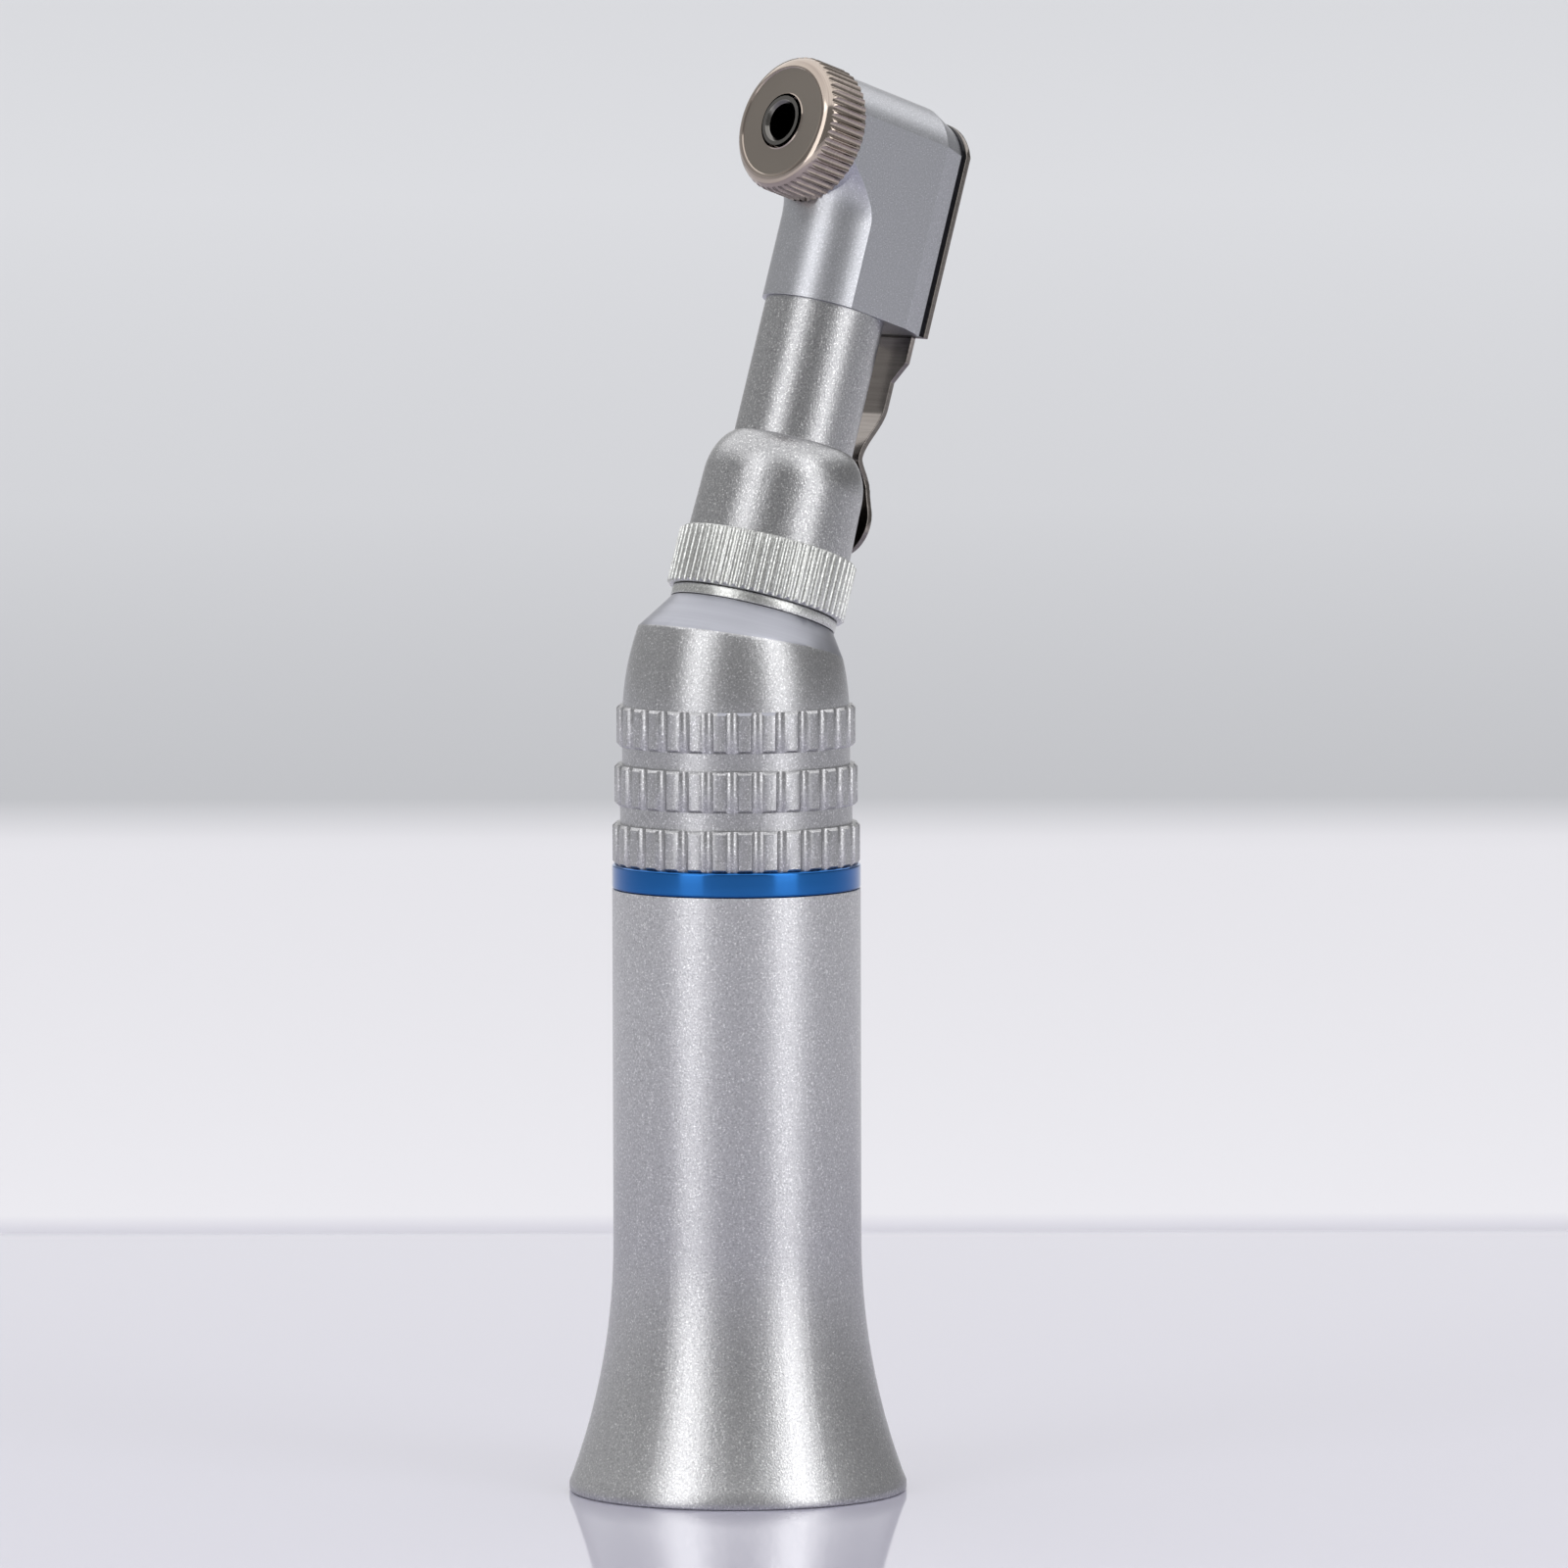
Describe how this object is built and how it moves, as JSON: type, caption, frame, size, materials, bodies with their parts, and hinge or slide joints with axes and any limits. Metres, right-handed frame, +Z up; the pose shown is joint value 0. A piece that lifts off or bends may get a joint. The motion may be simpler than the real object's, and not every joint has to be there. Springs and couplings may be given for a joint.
{
  "type": "contra angle handpiece",
  "caption": "Latch-type dental contra angle handpiece: flared handle, ringed grip, angled neck, bur head with swing latch, and the gears and bearings inside.",
  "frame": {"origin": "centre of the motor socket's mouth, in the plane of the handle's base", "axes": "+Z up the handle towards the head; the neck leans towards +Y and the bur mouth faces -Y"},
  "size_m": [0.0216, 0.0286, 0.0911],
  "materials": {
    "satin_chrome": "bead blasted and chrome plated brass, satin",
    "satin_chrome_head": "bead blasted and chrome plated brass, fine satin",
    "bright_satin": "machined, satin",
    "polished_nickel": "nickel plated brass, polished",
    "blue_anodised": "anodised blue, gloss",
    "spring_steel": "pressed spring steel, brushed",
    "blackened_steel": "blackened",
    "bearing_steel": "ground, bright",
    "shaft_steel": "ground",
    "gear_steel": "hardened and ground",
    "sintered_bronze": "sintered, oily",
    "nitrile_rubber": "matt"
  },
  "bodies": {
    "handle": {"rear_sheath": "satin_chrome", "coupling_sleeve": "bright_satin", "marking_ring": "blue_anodised", "grip_sleeve": "satin_chrome", "sheath_o_ring": "nitrile_rubber", "rear_bearing_outer_races": "bearing_steel", "rear_bearing_balls": "bearing_steel", "bearing_spacer": "bright_satin", "retaining_ring": "blackened_steel", "neck_tube": "satin_chrome", "collar_ring": "bright_satin", "neck_bearing_outer_race": "bearing_steel", "neck_bearing_balls": "bearing_steel", "neck_bush": "sintered_bronze", "thrust_washer": "sintered_bronze", "head_housing": "satin_chrome_head", "back_rotor_outer_race": "bearing_steel", "back_rotor_balls": "bearing_steel", "latch_pivot_screw": "bright_satin"},
    "rear_drive": {"rear_shaft": "shaft_steel", "dog_cross_pin": "shaft_steel", "rear_bearing_inner_races": "bearing_steel", "rear_bevel_gear": "gear_steel", "dog_spring": "spring_steel"},
    "dog": {"drive_dog": "gear_steel"},
    "neck_drive": {"neck_shaft": "shaft_steel", "lower_bevel_gear": "gear_steel", "upper_pinion": "gear_steel", "neck_bearing_inner_race": "bearing_steel"},
    "rotor": {"chuck_rotor": "polished_nickel", "rotor_gear": "gear_steel", "rotor_inner_races": "bearing_steel"},
    "nut": {"lock_nut": "bright_satin"},
    "cap": {"bearing_cap": "polished_nickel", "front_rotor_outer_race": "bearing_steel", "front_rotor_balls": "bearing_steel"},
    "latch": {"latch_lever": "spring_steel", "latch_blade": "blackened_steel"}
  },
  "joints": [
    {"name": "drive_spin", "type": "hinge", "parent": "handle", "child": "rear_drive", "pos_m": [0, 0, 0.035], "axis": [0, 0, 1], "continuous": true},
    {"name": "dog_slide", "type": "slide", "parent": "rear_drive", "child": "dog", "axis": [0, 0, 1], "range_m": [0, 0.0012], "stiffness_N_per_m": 800, "springref_m": -0.0012, "deforming": ["dog_spring"]},
    {"name": "neck_spin", "type": "hinge", "parent": "handle", "child": "neck_drive", "pos_m": [0, 0.00309, 0.06101], "axis": [0, 0.309, 0.9511], "continuous": true},
    {"name": "rotor_spin", "type": "hinge", "parent": "handle", "child": "rotor", "pos_m": [0, 0.01085, 0.08488], "axis": [0, -0.9511, 0.309], "continuous": true},
    {"name": "nut_turn", "type": "hinge", "parent": "handle", "child": "nut", "pos_m": [0, 0.00216, 0.05816], "axis": [0, 0.309, 0.9511], "range_deg": [0, 180]},
    {"name": "cap_turn", "type": "hinge", "parent": "handle", "child": "cap", "pos_m": [0, 0.00609, 0.08643], "axis": [0, -0.9511, 0.309], "range_deg": [0, 180]},
    {"name": "latch_swing", "type": "hinge", "parent": "handle", "child": "latch", "pos_m": [0, 0.01405, 0.07532], "axis": [0, 0.9511, -0.309], "range_deg": [0, 35]}
  ],
  "couplings": [
    {"joint": "neck_spin", "follows": "drive_spin", "ratio": 1},
    {"joint": "rotor_spin", "follows": "drive_spin", "ratio": -1}
  ]
}
